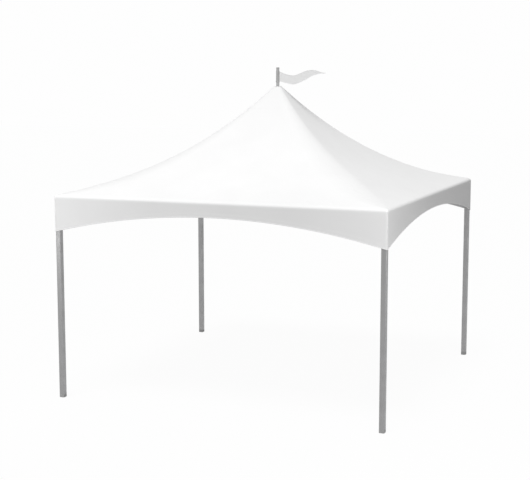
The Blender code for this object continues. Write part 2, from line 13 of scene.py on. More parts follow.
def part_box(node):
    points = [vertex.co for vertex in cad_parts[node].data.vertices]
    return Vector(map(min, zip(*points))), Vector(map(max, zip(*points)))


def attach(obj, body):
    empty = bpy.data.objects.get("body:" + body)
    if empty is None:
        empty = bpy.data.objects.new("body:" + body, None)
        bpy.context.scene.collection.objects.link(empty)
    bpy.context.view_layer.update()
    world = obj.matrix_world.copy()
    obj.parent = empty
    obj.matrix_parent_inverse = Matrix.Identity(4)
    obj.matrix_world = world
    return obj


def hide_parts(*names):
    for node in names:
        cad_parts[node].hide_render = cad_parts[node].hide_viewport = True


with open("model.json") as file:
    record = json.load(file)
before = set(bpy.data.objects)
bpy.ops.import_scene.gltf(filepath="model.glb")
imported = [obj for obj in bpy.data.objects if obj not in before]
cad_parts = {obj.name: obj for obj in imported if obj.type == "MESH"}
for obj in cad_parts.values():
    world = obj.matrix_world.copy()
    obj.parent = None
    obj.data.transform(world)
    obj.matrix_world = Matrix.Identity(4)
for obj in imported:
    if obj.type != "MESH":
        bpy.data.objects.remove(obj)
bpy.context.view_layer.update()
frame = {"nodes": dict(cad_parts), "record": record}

# Shape of the canopy, as the frame's roof panels and valances have it
HALF_WIDTH = 2.0
ROOF_EDGE_HEIGHT = 2.398
ROOF_EDGE_SLOPE = 0.202
ROOF_RISE = 0.870
ROOF_POWER = 2.33
PEAK_REACH = 0.046
EAVE_RADIUS = 0.040
CORNER_RADIUS = 0.024
HIP_ROUNDING = 0.25
HIP_ROUNDING_POWER = 6
ROUNDEST = 0.9
ARCH_CROWN_HEIGHT = 2.221
ARCH_RADIUS = 8.19
SLOPE_NUDGE = 0.001

# How near to the pole the membrane runs, level, under the collar
CLAMP_REACH = 0.031

# Fineness of the canopy's mesh
ROOF_ROWS = 56
ROOF_SPACING_POWER = 1.4
EAVE_ROWS = 9
VALANCE_ROWS = 14
STRAIGHT_COLUMNS = 36
CORNER_COLUMNS = 18

# Segments round the turned pieces, by their size
WIDE_SEGMENTS = 24
MIDDLE_SEGMENTS = 20
SLIM_SEGMENTS = 16
STITCH_SEGMENTS = 6
HEXAGON_SEGMENTS = 6

# Angles in degrees past which an edge is shaded sharp
SHARP_CLOTH = 60
SHARP_ROPE = 55
SHARP_ROLL = 50
SHARP_FITTING = 35
SHARP_BOLT = 30

# The membrane, its welded seams, its hem and the doubled ring round the peak
FABRIC_THICKNESS = 0.0018
WELD_WIDTH = 0.044
WELD_COLUMNS = 6
WELD_LIFT = 0.0009
SEAM_SINK = 0.0004
HEM_DEPTH = 0.042
HEM_LIFT = 0.0009
HEM_ROLL_RADIUS = 0.0040
HEM_ROLL_HEIGHTS = 2.4
HEM_EDGE = 0.0006
HEM_ROLL_DEGREES = (50, 15, -20, -55, -90, -125, -160, -195, -230)
PATCH_REACH = 0.30
PATCH_ROWS = 14

# Sizes of the frame that its fittings follow
LEG_CENTRE = 1.960
LEG_SIZE = 0.064
CORNER_LUG_REACH = 0.070
CORNER_LUG_HEIGHT = 2.350
HUB_BOSS_REACH = 0.075
MAST_FOOT_HEIGHT = 2.095
MAST_RADIUS = 0.030
HUB_HEIGHT = 0.060
ROD_LENGTH = 0.045
TURNBUCKLE_LENGTH = 0.170

# Wire rope: six strands laid round each other
ROPE_RADIUS = 0.004
ROPE_STRANDS = 6
ROPE_STRAND_POINTS = 4
ROPE_LAY = 0.056
ROPE_RINGS_PER_LAY = 14
SWAGE_RADIUS = 0.007
SWAGE_LENGTH = 0.060

# A swage's outline from its blunt end to the rope, as shares of its radius and of its length
SWAGE_OUTLINE = ((0.9, 0.0), (1.0, 0.03), (1.0, 0.75), (0.8, 0.93), (0.66, 1.0))

# Turnbuckles and forks
THREAD_RADIUS = 0.006
THREAD_DEPTH = 0.0007
THREAD_PITCH = 0.00175
THREAD_GROOVE_SHARE = 0.1
THREAD_CREST_SHARES = (0.5, 0.6)
THREAD_LENGTH = 0.095
THREAD_IN_FORK = 0.002
BODY_END_RADIUS = 0.0128
BODY_END_LENGTH = 0.020
BODY_END_INSET = 0.00256
BODY_END_TAPER = 0.0032
BODY_BAR_OFFSET = 0.0098
BODY_BAR_SIZE = (0.0062, 0.0110)
BODY_BAR_BEVEL = 0.0018
LOCK_NUT_RADIUS = 0.0118
LOCK_NUT_LENGTH = 0.008
LOCK_NUT_CHAMFER = 0.0014
FORK_CHEEK = (0.0040, 0.0210, 0.0400)
FORK_CHEEK_OFFSET = 0.0140
FORK_CHEEK_BEVEL = 0.0012
FORK_BASE_LENGTH = 0.010
FORK_BASE_BEVEL = 0.003
FORK_PIN_BACK = 0.018
FORK_PIN_RADIUS = 0.005
FORK_PIN_OVERHANG = 0.006
FORK_PIN_CHAMFER = 0.001
FORK_PIN_HEAD_RADIUS = 0.008
FORK_PIN_HEAD_LENGTH = 0.004
FORK_PIN_HEAD_ROUNDING = 0.0005

# Bolts, with their radius to a corner. The smaller ones are shares of the full size.
BOLT_RADIUS = 0.0098
BOLT_HEAD = 0.0064
BOLT_CHAMFER = 0.0013
WASHER_RADIUS = 0.0120
WASHER_THICKNESS = 0.0016
WASHER_CHAMFER = 0.00048
FOOT_SCREW_SHARE = 0.55
MAST_PIN_SHARE = 0.8

# Where the bolts sit on the legs, beams and mast
LEG_BOLT_DROP = 0.036
FOOT_SCREW_RISE = 0.026
BEAM_BOLT_INSET = 0.036
BEAM_BOLT_SPREAD = 0.024
MAST_PIN_INSET = 0.034

# Set screws: how many each ring has, and their shape. The last two are shares of their radius.
SET_SCREWS = {"peak_collar": 3, "pennant_stop_ring": 2}
SET_SCREW_TURN = 0.35
SET_SCREW_RADIUS = 0.0017
SET_SCREW_LENGTH = 0.0020
SET_SCREW_SINK = 0.0006
SET_SCREW_CHAMFER = 0.0004
SET_SCREW_SOCKET_DEPTH = 0.0008
SET_SCREW_TIP_SHARE = 0.85
SET_SCREW_SOCKET_SHARE = 0.5

# Pennant
PENNANT_REFINING = 4
PENNANT_ROWS = 12
PENNANT_THICKNESS = 0.0007
PENNANT_HEM_WIDTH = 0.008
PENNANT_HEM_LIFT = 0.0005
STITCH_LENGTH = 0.0032
STITCH_PITCH = 0.0044
STITCH_RADIUS = 0.00035
STITCH_INSET = 0.006
SEAM_END_DEPTH = 0.0176
SLEEVE_INNER_RADIUS = 0.0197
SLEEVE_OUTER_RADIUS = 0.0214
SLEEVE_ROWS = 24
SLEEVE_COLUMNS = 48
SLEEVE_WAVE = 0.0004
SLEEVE_WAVES = 3
SLEEVE_RADIANS_PER_METRE = 40

# A stitch's rounded end, as (distance from its axis, distance from its end), both in radii
STITCH_END = ((0.7, 0.4), (1.0, 1.2))

# Camera: where it stands, where it looks and its focal length in pixels of a 530 pixel wide picture
CAMERA_PLACE = (5.491, -14.182, 3.829)
CAMERA_TURN_DEGREES = 21.760
CAMERA_TILT_DEGREES = -7.887
FOCAL_PIXELS = 1224.6
PICTURE_WIDTH = 530
SENSOR_WIDTH = 36

# Stage and lights
FLOOR_SIZE = 60
FLOOR_GREY = 0.03
FLOOR_GLOW = 0.958
BACKDROP_STRENGTH = 0.99
FILL_STRENGTH = 0.332
KEY_DIRECTION = (0, -0.37, 0.93)
KEY_STRENGTH = 2.27
KEY_SOFTNESS_DEGREES = 25
FRONT_PLACE = (-0.3, -4.2, 5.2)
FRONT_AIM = (0.0, -1.4, 2.7)
FRONT_SIZE = 3.0
FRONT_WATTS = 9.5
SOFTBOX_SIZE = 1.0
CORNER_RIGHT_PLACE = (4.2, -3.4, 2.3)
CORNER_RIGHT_AIM = (2.0, -2.0, 2.3)
CORNER_RIGHT_WATTS = 26
CORNER_LEFT_PLACE = (-3.0, -4.2, 2.3)
CORNER_LEFT_AIM = (-2.0, -2.0, 2.3)
CORNER_LEFT_WATTS = 18

# Greys of the materials, as shares of white
MEMBRANE_TONE = 0.875
PENNANT_TONE = 0.88
THREAD_TONE = 0.78
WEBBING_TONE = 0.45
ALUMINIUM_TONE = 0.375
# The flag pole's tone is painted lighter than the other tubes: a painted reflection of the light its round
# sides catch
POLE_PAINTED_REFLECTION_TONE = 0.54
CAST_TONE = 0.40
ZINC_TONE = 0.52
ROPE_TONE = 0.46
FOOT_TONE = 0.40
COLLAR_TONE = 0.80

# Most of a noise texture's values lie between these two
NOISE_LOW = 0.3
NOISE_HIGH = 0.7

# Angle that a wave texture of scale 1 turns through in a metre
WAVE_TEXTURE_RADIANS = 20

# The tent's corners, with the signs of their x and y
CORNERS = {
    "front_left": (-1, -1),
    "front_right": (1, -1),
    "back_right": (1, 1),
    "back_left": (-1, 1),
}

# The tent's sides, with the degrees from the right side to each
SIDES = {"front": -90, "right": 0, "back": 90, "left": 180}


# Geometry helpers
class Solids:
    """Points and faces of several solids that become one mesh."""

    def __init__(self):
        self.points = []
        self.faces = []

    def add(self, points, faces, place=Matrix.Identity(4)):
        start = len(self.points)
        self.points += [place @ Vector(point) for point in points]
        self.faces += [tuple(start + index for index in face) for face in faces]


def add_mesh(name, points, faces, material, smooth_angle=None):
    mesh = bpy.data.meshes.new(name)
    mesh.from_pydata([tuple(point) for point in points], [], faces)
    mesh.validate()
    working = bmesh.new()
    working.from_mesh(mesh)
    bmesh.ops.recalc_face_normals(working, faces=working.faces)
    working.to_mesh(mesh)
    working.free()
    mesh.shade_smooth()
    if smooth_angle is not None:
        mesh.set_sharp_from_angle(angle=math.radians(smooth_angle))
    thing = bpy.data.objects.new(name, mesh)
    bpy.context.collection.objects.link(thing)
    mesh.materials.append(material)
    return thing


def add_solids(name, solids, material, smooth_angle, body="tent"):
    thing = add_mesh(name, solids.points, solids.faces, material, smooth_angle)
    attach(thing, body)
    return thing


def node_box(name):
    low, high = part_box(name)
    return Vector(low), Vector(high)


def towards(start, direction):
    """Place whose z axis starts at a point and runs in a direction, with its x axis level."""
    along = Vector(direction).normalized()
    level = Vector((-along.y, along.x, 0))
    if level.length_squared == 0:
        level = Vector((1, 0, 0))
    level.normalize()
    turn = Matrix((level, along.cross(level), along)).transposed().to_4x4()
    return Matrix.Translation(Vector(start)) @ turn


def turn_to_side(point, degrees):
    """Turns a point of the right side, with x outwards, to the side at the angle given."""
    return Matrix.Rotation(math.radians(degrees), 4, 'Z') @ Vector(point)


def ring_faces(rings, count, closed_rings=False):
    """Quads between closed rings of equal length. The last ring may join the first."""
    faces = []
    for ring in range(rings if closed_rings else rings - 1):
        low = ring * count
        high = (ring + 1) % rings * count
        for index in range(count):
            after = (index + 1) % count
            faces.append((low + index, low + after, high + after, high + index))
    return faces


def turned(profile, segments):
    """A solid turned about z. Its profile holds (radius, z) pairs and starts and ends on the axis."""
    points = [(0, 0, profile[0][1]), (0, 0, profile[-1][1])]
    rings = profile[1:-1]
    for radius, z in rings:
        for index in range(segments):
            angle = 2 * math.pi * index / segments
            points.append((radius * math.cos(angle), radius * math.sin(angle), z))
    faces = [tuple(index + 2 for index in face) for face in ring_faces(len(rings), segments)]
    last = 2 + (len(rings) - 1) * segments
    for index in range(segments):
        after = (index + 1) % segments
        faces.append((0, 2 + after, 2 + index))
        faces.append((1, last + index, last + after))
    return points, faces


def drum(radius, start, end, inset, taper, segments):
    """A solid round z between two heights, narrowed by the inset at both ends over the taper."""
    profile = [(0, start), (radius - inset, start), (radius, start + taper),
               (radius, end - taper), (radius - inset, end), (0, end)]
    return turned(profile, segments)


def hexagon(radius, start, end, chamfer):
    """A hexagonal nut or head along z."""
    return drum(radius, start, end, chamfer, chamfer / 2, HEXAGON_SEGMENTS)


def block(size, centre, bevel):
    """A block along z with its long edges broken."""
    x, y, z = (extent / 2 for extent in size)
    outline = [(x, y - bevel), (x - bevel, y), (bevel - x, y), (-x, y - bevel),
               (-x, bevel - y), (bevel - x, -y), (x - bevel, -y), (x, bevel - y)]
    points = []
    for height in (-z, z):
        points += [(centre[0] + px, centre[1] + py, centre[2] + height) for px, py in outline]
    count = len(outline)
    faces = ring_faces(2, count)
    faces += [tuple(reversed(range(count))), tuple(range(count, 2 * count))]
    return points, faces


def layers_joined(layers, closed_columns=False):
    """A closed sheet between two layers of points in rows and columns."""
    rows = len(layers[0])
    columns = len(layers[0][0])
    points = [point for layer in layers for line in layer for point in line]

    def at(layer, row, column):
        return (layer * rows + row) * columns + column % columns

    faces = []
    for column in range(columns if closed_columns else columns - 1):
        for layer in (0, 1):
            for row in range(rows - 1):
                faces.append((at(layer, row, column), at(layer, row, column + 1),
                              at(layer, row + 1, column + 1), at(layer, row + 1, column)))
        for row in (0, rows - 1):
            faces.append((at(0, row, column), at(0, row, column + 1),
                          at(1, row, column + 1), at(1, row, column)))
    if not closed_columns:
        for column in (0, columns - 1):
            for row in range(rows - 1):
                faces.append((at(0, row, column), at(0, row + 1, column),
                              at(1, row + 1, column), at(1, row, column)))
    return points, faces


def lifted(grid, lift, closed_columns):
    """The canopy's points moved along its own outward normals."""
    rows = len(grid)
    columns = len(grid[0])
    inside = Vector((0, 0, MAST_FOOT_HEIGHT))
    result = []
    for row in range(rows):
        line = []
        for column in range(columns):
            point = grid[row][column]
            down = grid[min(row + 1, rows - 1)][column] - grid[max(row - 1, 0)][column]
            if closed_columns:
                across = grid[row][(column + 1) % columns] - grid[row][column - 1]
            else:
                across = grid[row][min(column + 1, columns - 1)] - grid[row][max(column - 1, 0)]
            normal = down.cross(across).normalized()
            if normal.dot(point - inside) < 0:
                normal = -normal
            line.append(point + lift * normal)
        result.append(line)
    return result


def canopy_band(grid, low, high, closed_columns=False):
    """A strip welded onto the canopy, between two distances from its surface."""
    layers = [lifted(grid, low, closed_columns), lifted(grid, high, closed_columns)]
    return layers_joined(layers, closed_columns)


# Shape of the canopy
def level_line_radius(reach):
    """Corner radius of the canopy's level line: round at the peak, nearly square at the eave."""
    share = min(reach / EAVE_REACH, 1)
    radius = CORNER_RADIUS + HIP_ROUNDING * reach * (1 - share ** HIP_ROUNDING_POWER)
    return min(radius, ROUNDEST * reach)


def hip_height(reach):
    """Height of a hip, which hangs in a hollow curve, where reach is its distance out along x."""
    inward = HALF_WIDTH - reach
    hollow = (inward / HALF_WIDTH) ** ROOF_POWER
    return ROOF_EDGE_HEIGHT + ROOF_EDGE_SLOPE * inward + ROOF_RISE * hollow


def roof_height(reach):
    """Height of the level line that lies at a reach from the centre in the middle of each side."""
    cut_corner = 1 - math.sqrt(0.5)
    return hip_height(reach - level_line_radius(reach) * cut_corner)


EAVE_REACH = HALF_WIDTH - EAVE_RADIUS
EAVE_FALL = (roof_height(EAVE_REACH - SLOPE_NUDGE) - roof_height(EAVE_REACH)) / SLOPE_NUDGE
EAVE_HEIGHT = roof_height(EAVE_REACH) - EAVE_RADIUS * math.hypot(1, EAVE_FALL)


def arch_height(across):
    """Height of a valance's lower edge, a wide arc with its crown at mid side."""
    return ARCH_CROWN_HEIGHT - ARCH_RADIUS + math.sqrt(ARCH_RADIUS ** 2 - across ** 2)


def canopy_rows():
    """Level lines from under the collar to the hem.

    Each is its reach, its corner radius, its height and how much of the valance lies above it, from 0 to 1.
    """
    rows = [(CLAMP_REACH, ROUNDEST * CLAMP_REACH, roof_height(PEAK_REACH), 0)]
    for step in range(ROOF_ROWS):
        reach = PEAK_REACH + (EAVE_REACH - PEAK_REACH) * (step / ROOF_ROWS) ** ROOF_SPACING_POWER
        rows.append((reach, level_line_radius(reach), roof_height(reach), 0))
    first_angle = math.pi / 2 - math.atan(EAVE_FALL)
    for step in range(EAVE_ROWS + 1):
        angle = first_angle * (1 - step / EAVE_ROWS)
        reach = EAVE_REACH + EAVE_RADIUS * math.cos(angle)
        rows.append((reach, CORNER_RADIUS, EAVE_HEIGHT + EAVE_RADIUS * math.sin(angle), 0))
    for step in range(1, VALANCE_ROWS + 1):
        rows.append((HALF_WIDTH, CORNER_RADIUS, EAVE_HEIGHT, step / VALANCE_ROWS))
    return rows


def canopy_point(row, place, across):
    """Point of a row over a place of the plan. Rows of the valance come down to the arch."""
    height, share = row[2:]
    return Vector((place.x, place.y, height + (arch_height(across) - height) * share))


def level_line(reach, radius):
    """A closed level line, as (place, outward direction, distance along its side from the middle)."""
    middle = reach - radius
    line = []
    for degrees in (0, 90, 180, 270):
        side = Matrix.Rotation(math.radians(degrees), 2)
        for step in range(STRAIGHT_COLUMNS):
            across = middle * (2 * step / STRAIGHT_COLUMNS - 1)
            line.append((side @ Vector((reach, across)), side @ Vector((1, 0)), across))
        for step in range(CORNER_COLUMNS):
            angle = math.pi / 2 * step / CORNER_COLUMNS
            outward = Vector((math.cos(angle), math.sin(angle)))
            place = Vector((middle, middle)) + radius * outward
            line.append((side @ place, side @ outward, min(place.x, place.y)))
    return line


def beside_hip(reach, radius, along):
    """Place on a level line at a distance along it from the hip that runs to the back right."""
    quarter = radius * math.pi / 4
    on_arc = max(-quarter, min(quarter, along))
    angle = math.pi / 4 + on_arc / radius
    middle = reach - radius
    beyond = along - on_arc
    straight = Vector((-max(beyond, 0), min(beyond, 0)))
    return Vector((middle, middle)) + radius * Vector((math.cos(angle), math.sin(angle))) + straight


# The canopy and what is welded to it
def make_canopy(material):
    """Roof and valances as one sheet, closed round the tent."""
    rows = canopy_rows()
    points = []
    for row in rows:
        points += [canopy_point(row, place, across) for place, outward, across in level_line(row[0], row[1])]
    columns = 4 * (STRAIGHT_COLUMNS + CORNER_COLUMNS)
    canopy = add_mesh("canopy", points, ring_faces(len(rows), columns), material)
    skin = canopy.modifiers.new("thickness", 'SOLIDIFY')
    skin.thickness = FABRIC_THICKNESS
    skin.offset = -1
    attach(canopy, "tent")
    return canopy


def make_hip_welds(material):
    """The overlap welded along each hip and down each corner of the valance."""
    solids = Solids()
    for quarter in range(4):
        turn = Matrix.Rotation(math.pi / 2 * quarter, 4, 'Z')
        grid = []
        for row in canopy_rows():
            reach, radius = row[:2]
            widest = reach / 2
            line = []
            for column in range(WELD_COLUMNS + 1):
                along = WELD_WIDTH * (column / WELD_COLUMNS - 0.5)
                place = beside_hip(reach, radius, max(-widest, min(widest, along)))
                line.append(turn @ canopy_point(row, place, min(place.x, place.y)))
            grid.append(line)
        solids.add(*canopy_band(grid, -SEAM_SINK, WELD_LIFT))
    return add_solids("hip_welds", solids, material, SHARP_CLOTH)


def make_peak_patch(material):
    """The doubled ring of membrane round the peak."""
    grid = []
    for step in range(PATCH_ROWS + 1):
        reach = PEAK_REACH + (PATCH_REACH - PEAK_REACH) * step / PATCH_ROWS
        row = (reach, level_line_radius(reach), roof_height(reach), 0)
        grid.append([canopy_point(row, place, across)
                     for place, outward, across in level_line(reach, row[1])])
    solids = Solids()
    solids.add(*canopy_band(grid, -SEAM_SINK, WELD_LIFT / 2, closed_columns=True))
    return add_solids("peak_patch", solids, material, SHARP_CLOTH)


def make_hem(material):
    """A doubled band along the valances' lower edge, rolled over a thin rope."""
    inner = -FABRIC_THICKNESS - HEM_LIFT
    middle = -FABRIC_THICKNESS / 2
    roll_top = HEM_ROLL_HEIGHTS * HEM_ROLL_RADIUS
    section = [(HEM_LIFT, HEM_DEPTH), (HEM_LIFT, HEM_DEPTH - HEM_EDGE), (HEM_LIFT, roll_top + HEM_EDGE),
               (HEM_LIFT, roll_top)]
    for degrees in HEM_ROLL_DEGREES:
        angle = math.radians(degrees)
        section.append((middle + HEM_ROLL_RADIUS * math.cos(angle), HEM_ROLL_RADIUS * (1 + math.sin(angle))))
    section += [(inner, roll_top), (inner, roll_top + HEM_EDGE), (inner, HEM_DEPTH)]
    points = []
    line = level_line(HALF_WIDTH, CORNER_RADIUS)
    for place, outward, across in line:
        for out, up in section:
            spot = place + out * outward
            points.append((spot.x, spot.y, arch_height(across) + up))
    solids = Solids()
    solids.add(points, ring_faces(len(line), len(section), closed_rings=True))
    return add_solids("hem", solids, material, SHARP_ROLL)


# Wire ropes, their ends and their turnbuckles
def stay_ends(signs):
    """Ends of the bracket's boss and of the hub's boss in one corner."""
    reach = LEG_CENTRE - LEG_SIZE / 2 - CORNER_LUG_REACH / math.sqrt(2)
    lug = Vector((signs[0] * reach, signs[1] * reach, CORNER_LUG_HEIGHT))
    reach = HUB_BOSS_REACH / math.sqrt(2)
    hub = Vector((signs[0] * reach, signs[1] * reach, MAST_FOOT_HEIGHT - HUB_HEIGHT / 2))
    return lug, hub


def rope_strands(length):
    """Six strands laid round each other along z, as one twisted surface with round lobes."""
    strand = ROPE_RADIUS / 3
    middle = ROPE_RADIUS - strand
    count = ROPE_STRANDS * ROPE_STRAND_POINTS
    rings = math.ceil(length / ROPE_LAY * ROPE_RINGS_PER_LAY)
    points = []
    for ring in range(rings + 1):
        z = length * ring / rings
        twist = 2 * math.pi * z / ROPE_LAY
        for index in range(count):
            place_in_strand = (index % ROPE_STRAND_POINTS) / ROPE_STRAND_POINTS - 0.5
            off = place_in_strand * 2 * math.pi / ROPE_STRANDS
            bulge = max(strand ** 2 - (middle * math.sin(off)) ** 2, 0)
            radius = middle * math.cos(off) + math.sqrt(bulge)
            angle = twist + 2 * math.pi * index / count
            points.append((radius * math.cos(angle), radius * math.sin(angle), z))
    faces = ring_faces(rings + 1, count)
    faces += [tuple(reversed(range(count))), tuple(range(rings * count, (rings + 1) * count))]
    return points, faces


def swage():
    """Pressed sleeve on a rope's end. It tapers towards the rope."""
    outline = [(SWAGE_RADIUS * out, SWAGE_LENGTH * along) for out, along in SWAGE_OUTLINE]
    return turned([(0, 0), *outline, (0, SWAGE_LENGTH)], MIDDLE_SEGMENTS)


def add_fork(solids, place):
    """A fork round a boss that ends at the place, with its cross pin. The stay leaves along z."""
    thickness, width, length = FORK_CHEEK
    span = 2 * FORK_CHEEK_OFFSET + thickness
    base = (span, width, FORK_BASE_LENGTH)
    solids.add(*block(base, (0, 0, FORK_BASE_LENGTH / 2), FORK_BASE_BEVEL), place)
    for side in (-1, 1):
        centre = (side * FORK_CHEEK_OFFSET, 0, FORK_BASE_LENGTH - length / 2)
        solids.add(*block(FORK_CHEEK, centre, FORK_CHEEK_BEVEL), place)
    end = span + 2 * FORK_PIN_OVERHANG
    profile = [(0, 0),
               (FORK_PIN_HEAD_RADIUS - FORK_PIN_HEAD_ROUNDING, 0),
               (FORK_PIN_HEAD_RADIUS, FORK_PIN_CHAMFER),
               (FORK_PIN_HEAD_RADIUS, FORK_PIN_HEAD_LENGTH),
               (FORK_PIN_RADIUS, FORK_PIN_HEAD_LENGTH + FORK_PIN_HEAD_ROUNDING),
               (FORK_PIN_RADIUS, end - FORK_PIN_CHAMFER),
               (FORK_PIN_RADIUS - FORK_PIN_CHAMFER, end),
               (0, end)]
    pin_place = place @ towards((-end / 2, 0, -FORK_PIN_BACK), (1, 0, 0))
    solids.add(*turned(profile, MIDDLE_SEGMENTS), pin_place)


def threaded_rod(start, end):
    """A rod along z with its thread as grooves."""
    root = THREAD_RADIUS - THREAD_DEPTH
    profile = [(0, start), (root, start)]
    for turn in range(int((end - start) / THREAD_PITCH)):
        low = start + turn * THREAD_PITCH
        profile.append((root, low + THREAD_PITCH * THREAD_GROOVE_SHARE))
        profile += [(THREAD_RADIUS, low + THREAD_PITCH * share) for share in THREAD_CREST_SHARES]
    profile += [(root, end), (0, end)]
    return turned(profile, SLIM_SEGMENTS)


def make_turnbuckle(corner, signs, material):
    """An open body of two bars between threaded ends, with a rod and a lock nut at each end."""
    lug, hub = stay_ends(signs)
    place = towards(lug, hub - lug)
    body_end = ROD_LENGTH + TURNBUCKLE_LENGTH
    end = body_end + ROD_LENGTH
    solids = Solids()
    add_fork(solids, place)
    solids.add(*threaded_rod(FORK_BASE_LENGTH - THREAD_IN_FORK, THREAD_LENGTH), place)
    solids.add(*threaded_rod(end - THREAD_LENGTH, end), place)
    for start in (ROD_LENGTH, body_end - BODY_END_LENGTH):
        body = drum(BODY_END_RADIUS, start, start + BODY_END_LENGTH, BODY_END_INSET, BODY_END_TAPER,
                    WIDE_SEGMENTS)
        solids.add(*body, place)
    width, depth = BODY_BAR_SIZE
    bar_length = TURNBUCKLE_LENGTH - BODY_END_LENGTH
    for side in (-1, 1):
        centre = (side * BODY_BAR_OFFSET, 0, (ROD_LENGTH + body_end) / 2)
        solids.add(*block((width, depth, bar_length), centre, BODY_BAR_BEVEL), place)
    for start in (ROD_LENGTH - LOCK_NUT_LENGTH, body_end):
        solids.add(*hexagon(LOCK_NUT_RADIUS, start, start + LOCK_NUT_LENGTH, LOCK_NUT_CHAMFER), place)
    thing = add_solids("turnbuckle_body_" + corner, solids, material, SHARP_FITTING)
    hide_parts("turnbuckle_" + corner)


def make_rope(corner, signs, material):
    """A wire rope from the turnbuckle to the hub, with a pressed sleeve at each end and a fork at the hub."""
    lug, hub = stay_ends(signs)
    along = (hub - lug).normalized()
    first = lug + along * (2 * ROD_LENGTH + TURNBUCKLE_LENGTH)
    inset = SWAGE_LENGTH / 2
    solids = Solids()
    solids.add(*rope_strands((hub - first).length - 2 * inset), towards(first + along * inset, along))
    solids.add(*swage(), towards(first, along))
    solids.add(*swage(), towards(hub - along * FORK_BASE_LENGTH / 2, -along))
    add_fork(solids, towards(hub, -along))
    thing = add_solids("wire_rope_" + corner, solids, material, SHARP_ROPE)
    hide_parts("cable_" + corner)


# Bolts and screws
def add_bolt(solids, point, direction, share=1):
    """A hexagon bolt's head on its washer, standing on a face, at a share of the full size."""
    place = towards(point, direction)
    thickness = WASHER_THICKNESS * share
    radius = WASHER_RADIUS * share
    chamfer = WASHER_CHAMFER * share
    washer = [(0, 0), (radius, 0), (radius, thickness - chamfer), (radius - chamfer, thickness),
              (0, thickness)]
    solids.add(*turned(washer, WIDE_SEGMENTS), place)
    top = thickness + BOLT_HEAD * share
    solids.add(*hexagon(BOLT_RADIUS * share, thickness, top, BOLT_CHAMFER * share), place)


def make_bolts(material):
    """Bolts through the legs and beams into the brackets' spigots, foot screws and mast pins."""
    solids = Solids()
    leg_low, leg_high = node_box("leg_front_left")
    beam_low, beam_high = node_box("eave_beam_right")
    mast_high = node_box("centre_mast")[1]
    inside = LEG_CENTRE - LEG_SIZE / 2
    for sx, sy in CORNERS.values():
        faces = [((sx * inside, sy * LEG_CENTRE), (-sx, 0, 0)), ((sx * LEG_CENTRE, sy * inside), (0, -sy, 0))]
        for (x, y), direction in faces:
            add_bolt(solids, (x, y, leg_high.z - LEG_BOLT_DROP), direction)
            add_bolt(solids, (x, y, leg_low.z + FOOT_SCREW_RISE), direction, FOOT_SCREW_SHARE)
    for degrees in SIDES.values():
        inward = turn_to_side((-1, 0, 0), degrees)
        for end in (-1, 1):
            across = end * (beam_high.y - BEAM_BOLT_INSET)
            for rise in (-1, 1):
                height = (beam_low.z + beam_high.z) / 2 + rise * BEAM_BOLT_SPREAD
                add_bolt(solids, turn_to_side((beam_low.x, across, height), degrees), inward)
    for end in (-1, 1):
        for height in (MAST_FOOT_HEIGHT + MAST_PIN_INSET, mast_high.z - MAST_PIN_INSET):
            add_bolt(solids, (end * MAST_RADIUS, 0, height), (end, 0, 0), MAST_PIN_SHARE)
    add_solids("frame_bolts", solids, material, SHARP_BOLT)


def make_set_screws(material):
    """Small socket screws in the collar and in the ring under the pennant."""
    radius = SET_SCREW_RADIUS
    length = SET_SCREW_LENGTH
    socket = radius * SET_SCREW_SOCKET_SHARE
    socket_end = length - SET_SCREW_SOCKET_DEPTH
    tip = radius * SET_SCREW_TIP_SHARE
    profile = [(0, 0), (radius, 0), (radius, length - SET_SCREW_CHAMFER), (tip, length),
               (socket, length), (socket, socket_end), (0, socket_end)]
    solids = Solids()
    for node, count in SET_SCREWS.items():
        low, high = node_box(node)
        for index in range(count):
            angle = 2 * math.pi * (index + SET_SCREW_TURN) / count
            out = Vector((math.cos(angle), math.sin(angle), 0))
            point = (high.x - SET_SCREW_SINK) * out + Vector((0, 0, (low.z + high.z) / 2))
            solids.add(*turned(profile, SLIM_SEGMENTS), towards(point, out))
    add_solids("set_screws", solids, material, SHARP_BOLT)


# Pennant
def pennant_sections():
    """Sections of the frame's pennant along its length, as (x, y, lowest z, highest z)."""
    node = frame["nodes"]["pennant"]
    sections = {}
    for vertex in node.data.vertices:
        place = node.matrix_world @ vertex.co
        sections.setdefault(round(place.x, 4), []).append(place)
    rows = []
    for x in sorted(sections):
        places = sections[x]
        heights = [place.z for place in places]
        rows.append((x, sum(place.y for place in places) / len(places), min(heights), max(heights)))
    return rows


def refined(rows, steps):
    """The rows with more between them, on a Catmull-Rom curve through them all."""
    result = []
    last = len(rows) - 1
    for index in range(last):
        four = [rows[max(index - 1, 0)], rows[index], rows[index + 1], rows[min(index + 2, last)]]
        for step in range(steps):
            t = step / steps
            weights = ((-t + 2 * t ** 2 - t ** 3) / 2, (2 - 5 * t ** 2 + 3 * t ** 3) / 2,
                       (t + 4 * t ** 2 - 3 * t ** 3) / 2, (t ** 3 - t ** 2) / 2)
            result.append(tuple(sum(weight * value for weight, value in zip(weights, values))
                                for values in zip(*four)))
    result.append(rows[-1])
    return result


def upright_sheet(grid, thickness):
    """A thin closed sheet, half its thickness to each side of an upright grid."""
    aside = Vector((0, thickness / 2, 0))
    return layers_joined([[[point + side * aside for point in line] for line in grid] for side in (-1, 1)])


